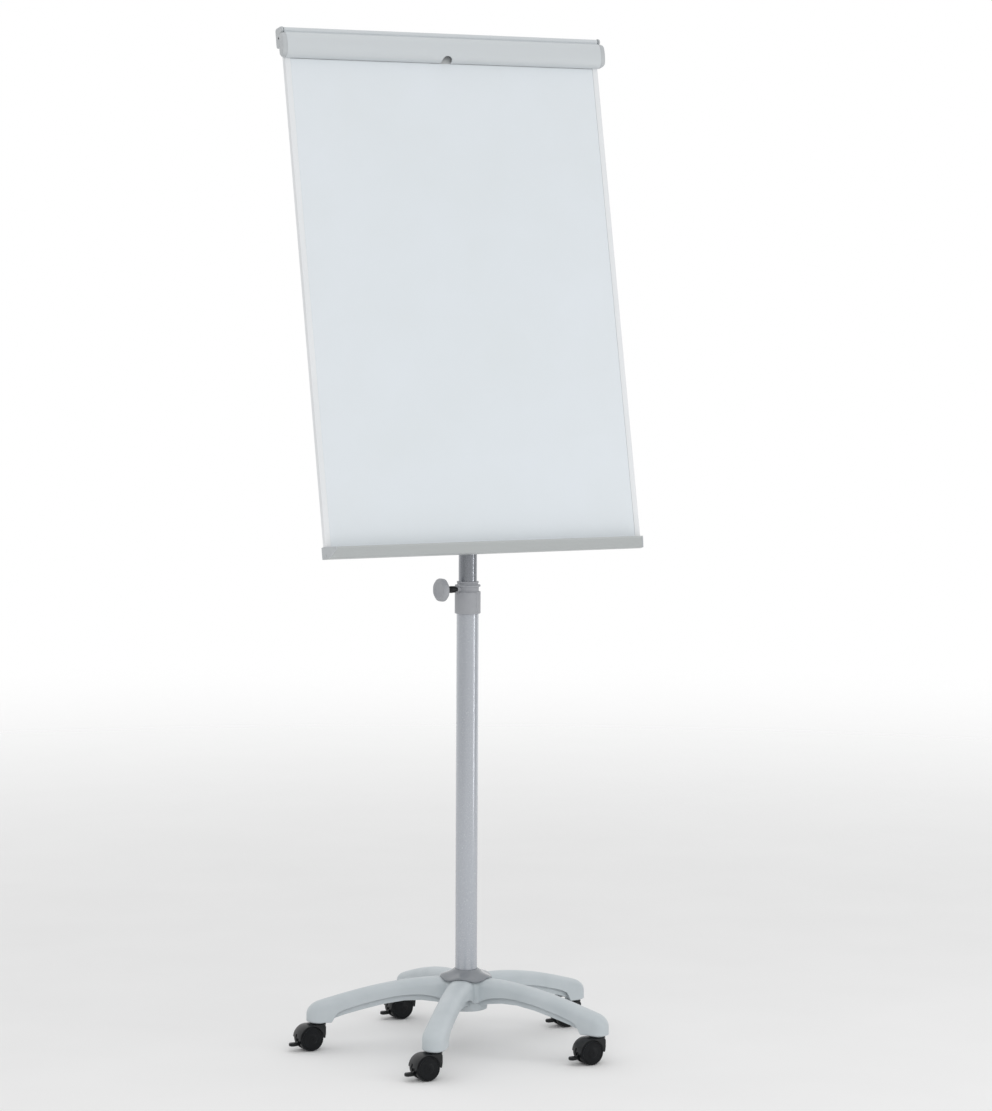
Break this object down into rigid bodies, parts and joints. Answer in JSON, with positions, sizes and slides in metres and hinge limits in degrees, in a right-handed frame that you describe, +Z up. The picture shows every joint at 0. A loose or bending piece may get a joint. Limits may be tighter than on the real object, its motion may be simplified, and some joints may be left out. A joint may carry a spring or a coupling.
{
  "type": "flipchart easel",
  "caption": "Mobile flipchart easel: tilting dry-wipe board with a paper clamp bar and pen tray on a telescopic mast over a star base with braked castors.",
  "frame": {"origin": "on the floor at the centre of the object's outline seen from above; the mast axis stands 23.5 mm in front of it", "axes": "+Z up; the board faces -Y; +X runs along the clamp bar, to the right as the board is read"},
  "size_m": [0.72, 0.594, 2.0271],
  "materials": {
    "base_plastic": "satin moulded grey nylon",
    "cover_plastic": "glossy dark grey",
    "collar_plastic": "matt grey",
    "black_plastic": "satin black",
    "wheel_plastic": "hard black tread",
    "coated_tube": "silver-grey powder coat",
    "satin_tube": "satin drawn tube",
    "zinc_steel": "zinc plated",
    "white_enamel": "glossy white dry-wipe coat",
    "backing_board": "fibreboard core with a grey back foil",
    "white_profile": "white lacquered",
    "rail_alloy": "light grey lacquered",
    "tray_alloy": "satin grey lacquered",
    "cap_plastic": "satin grey",
    "coated_black": "black powder coat"
  },
  "bodies": {
    "base": {"star_base": "base_plastic", "hub_cover": "cover_plastic", "lower_mast_tube": "coated_tube", "mast_foot_plug": "collar_plastic", "base_bolt": "zinc_steel", "clamp_collar": "collar_plastic", "castor_stem_1": "zinc_steel", "castor_stem_2": "zinc_steel", "castor_stem_3": "zinc_steel", "castor_stem_4": "zinc_steel", "castor_stem_5": "zinc_steel"},
    "mast": {"upper_mast_tube": "satin_tube", "mast_guide_plug": "black_plastic", "tilt_head": "black_plastic"},
    "thrust_pad": {"thrust_pad": "black_plastic"},
    "height_knob": {"height_knob": "collar_plastic", "height_knob_stem": "black_plastic"},
    "board": {"backing_panel": "backing_board", "writing_sheet": "white_enamel", "side_profile_left": "white_profile", "side_profile_right": "white_profile", "top_rail": "rail_alloy", "rail_cap_left": "cap_plastic", "rail_cap_right": "cap_plastic", "pen_tray": "tray_alloy", "tray_cap_left": "cap_plastic", "tray_cap_right": "cap_plastic", "board_bracket": "coated_black", "pivot_bolt": "zinc_steel"},
    "tilt_knob": {"tilt_knob": "black_plastic"},
    "clamp": {"clamp_bar": "rail_alloy", "clamp_cap_left": "cap_plastic", "clamp_cap_right": "cap_plastic"},
    "pad_hook_left": {"pad_hook_left": "black_plastic"},
    "pad_hook_right": {"pad_hook_right": "black_plastic"},
    "castor_1": {"castor_hood_1": "black_plastic", "castor_axle_1": "zinc_steel"},
    "wheel_front_1": {"castor_wheel_front_1": "wheel_plastic"},
    "wheel_rear_1": {"castor_wheel_rear_1": "wheel_plastic"},
    "brake_1": {"castor_brake_1": "black_plastic"},
    "castor_2": {"castor_hood_2": "black_plastic", "castor_axle_2": "zinc_steel"},
    "wheel_front_2": {"castor_wheel_front_2": "wheel_plastic"},
    "wheel_rear_2": {"castor_wheel_rear_2": "wheel_plastic"},
    "brake_2": {"castor_brake_2": "black_plastic"},
    "castor_3": {"castor_hood_3": "black_plastic", "castor_axle_3": "zinc_steel"},
    "wheel_front_3": {"castor_wheel_front_3": "wheel_plastic"},
    "wheel_rear_3": {"castor_wheel_rear_3": "wheel_plastic"},
    "brake_3": {"castor_brake_3": "black_plastic"},
    "castor_4": {"castor_hood_4": "black_plastic", "castor_axle_4": "zinc_steel"},
    "wheel_front_4": {"castor_wheel_front_4": "wheel_plastic"},
    "wheel_rear_4": {"castor_wheel_rear_4": "wheel_plastic"},
    "brake_4": {"castor_brake_4": "black_plastic"},
    "castor_5": {"castor_hood_5": "black_plastic", "castor_axle_5": "zinc_steel"},
    "wheel_front_5": {"castor_wheel_front_5": "wheel_plastic"},
    "wheel_rear_5": {"castor_wheel_rear_5": "wheel_plastic"},
    "brake_5": {"castor_brake_5": "black_plastic"}
  },
  "joints": [
    {"name": "mast_height", "type": "slide", "parent": "base", "child": "mast", "axis": [0, 0, 1], "range_m": [-0.2, 0.15]},
    {"name": "clamp_screw_travel", "type": "slide", "parent": "base", "child": "thrust_pad", "axis": [-0.9945, -0.1045, 0], "range_m": [0, 0.00125]},
    {"name": "height_knob_turn", "type": "hinge", "parent": "thrust_pad", "child": "height_knob", "pos_m": [0, -0.02352, 0.9235], "axis": [-0.9945, -0.1045, 0], "range_deg": [0, 360]},
    {"name": "board_tilt", "type": "hinge", "parent": "mast", "child": "board", "pos_m": [0, -0.02352, 1.19], "axis": [-1, 0, 0], "range_deg": [-11.37, 78]},
    {"name": "tilt_knob_turn", "type": "hinge", "parent": "board", "child": "tilt_knob", "pos_m": [0.03, -0.02352, 1.19], "axis": [1, 0, 0], "range_deg": [0, 180]},
    {"name": "clamp_open", "type": "hinge", "parent": "board", "child": "clamp", "pos_m": [0, 0.09247, 2.02103], "axis": [-1, 0, 0], "range_deg": [0, 70]},
    {"name": "pad_hook_left_slide", "type": "slide", "parent": "board", "child": "pad_hook_left", "axis": [1, 0, 0], "range_m": [-0.06, 0.06]},
    {"name": "pad_hook_right_slide", "type": "slide", "parent": "board", "child": "pad_hook_right", "axis": [1, 0, 0], "range_m": [-0.06, 0.06]},
    {"name": "castor_1_swivel", "type": "hinge", "parent": "base", "child": "castor_1", "pos_m": [-0.18835, -0.25446, 0.045], "axis": [0, 0, 1], "continuous": true},
    {"name": "wheel_front_1_roll", "type": "hinge", "parent": "castor_1", "child": "wheel_front_1", "pos_m": [-0.20835, -0.26646, 0.025], "axis": [0, 1, 0], "continuous": true},
    {"name": "wheel_rear_1_roll", "type": "hinge", "parent": "castor_1", "child": "wheel_rear_1", "pos_m": [-0.20835, -0.24246, 0.025], "axis": [0, 1, 0], "continuous": true},
    {"name": "brake_1_press", "type": "hinge", "parent": "castor_1", "child": "brake_1", "pos_m": [-0.22634, -0.25446, 0.024], "axis": [0, -1, 0], "range_deg": [0, 12]},
    {"name": "castor_2_swivel", "type": "hinge", "parent": "base", "child": "castor_2", "pos_m": [0.16143, -0.27401, 0.045], "axis": [0, 0, 1], "continuous": true},
    {"name": "wheel_front_2_roll", "type": "hinge", "parent": "castor_2", "child": "wheel_front_2", "pos_m": [0.14143, -0.28601, 0.025], "axis": [0, 1, 0], "continuous": true},
    {"name": "wheel_rear_2_roll", "type": "hinge", "parent": "castor_2", "child": "wheel_rear_2", "pos_m": [0.14143, -0.26201, 0.025], "axis": [0, 1, 0], "continuous": true},
    {"name": "brake_2_press", "type": "hinge", "parent": "castor_2", "child": "brake_2", "pos_m": [0.12343, -0.27401, 0.024], "axis": [0, -1, 0], "range_deg": [0, 12]},
    {"name": "castor_3_swivel", "type": "hinge", "parent": "base", "child": "castor_3", "pos_m": [0.28811, 0.0526, 0.045], "axis": [0, 0, 1], "continuous": true},
    {"name": "wheel_front_3_roll", "type": "hinge", "parent": "castor_3", "child": "wheel_front_3", "pos_m": [0.26811, 0.0406, 0.025], "axis": [0, 1, 0], "continuous": true},
    {"name": "wheel_rear_3_roll", "type": "hinge", "parent": "castor_3", "child": "wheel_rear_3", "pos_m": [0.26811, 0.0646, 0.025], "axis": [0, 1, 0], "continuous": true},
    {"name": "brake_3_press", "type": "hinge", "parent": "castor_3", "child": "brake_3", "pos_m": [0.25011, 0.0526, 0.024], "axis": [0, -1, 0], "range_deg": [0, 12]},
    {"name": "castor_4_swivel", "type": "hinge", "parent": "base", "child": "castor_4", "pos_m": [0.01664, 0.27401, 0.045], "axis": [0, 0, 1], "continuous": true},
    {"name": "wheel_front_4_roll", "type": "hinge", "parent": "castor_4", "child": "wheel_front_4", "pos_m": [-0.00336, 0.26201, 0.025], "axis": [0, 1, 0], "continuous": true},
    {"name": "wheel_rear_4_roll", "type": "hinge", "parent": "castor_4", "child": "wheel_rear_4", "pos_m": [-0.00336, 0.28601, 0.025], "axis": [0, 1, 0], "continuous": true},
    {"name": "brake_4_press", "type": "hinge", "parent": "castor_4", "child": "brake_4", "pos_m": [-0.02136, 0.27401, 0.024], "axis": [0, -1, 0], "range_deg": [0, 12]},
    {"name": "castor_5_swivel", "type": "hinge", "parent": "base", "child": "castor_5", "pos_m": [-0.27783, 0.08424, 0.045], "axis": [0, 0, 1], "continuous": true},
    {"name": "wheel_front_5_roll", "type": "hinge", "parent": "castor_5", "child": "wheel_front_5", "pos_m": [-0.29783, 0.07224, 0.025], "axis": [0, 1, 0], "continuous": true},
    {"name": "wheel_rear_5_roll", "type": "hinge", "parent": "castor_5", "child": "wheel_rear_5", "pos_m": [-0.29783, 0.09624, 0.025], "axis": [0, 1, 0], "continuous": true},
    {"name": "brake_5_press", "type": "hinge", "parent": "castor_5", "child": "brake_5", "pos_m": [-0.31583, 0.08424, 0.024], "axis": [0, -1, 0], "range_deg": [0, 12]}
  ],
  "couplings": [
    {"joint": "height_knob_turn", "follows": "clamp_screw_travel", "rad_per_m": 5026.5}
  ]
}
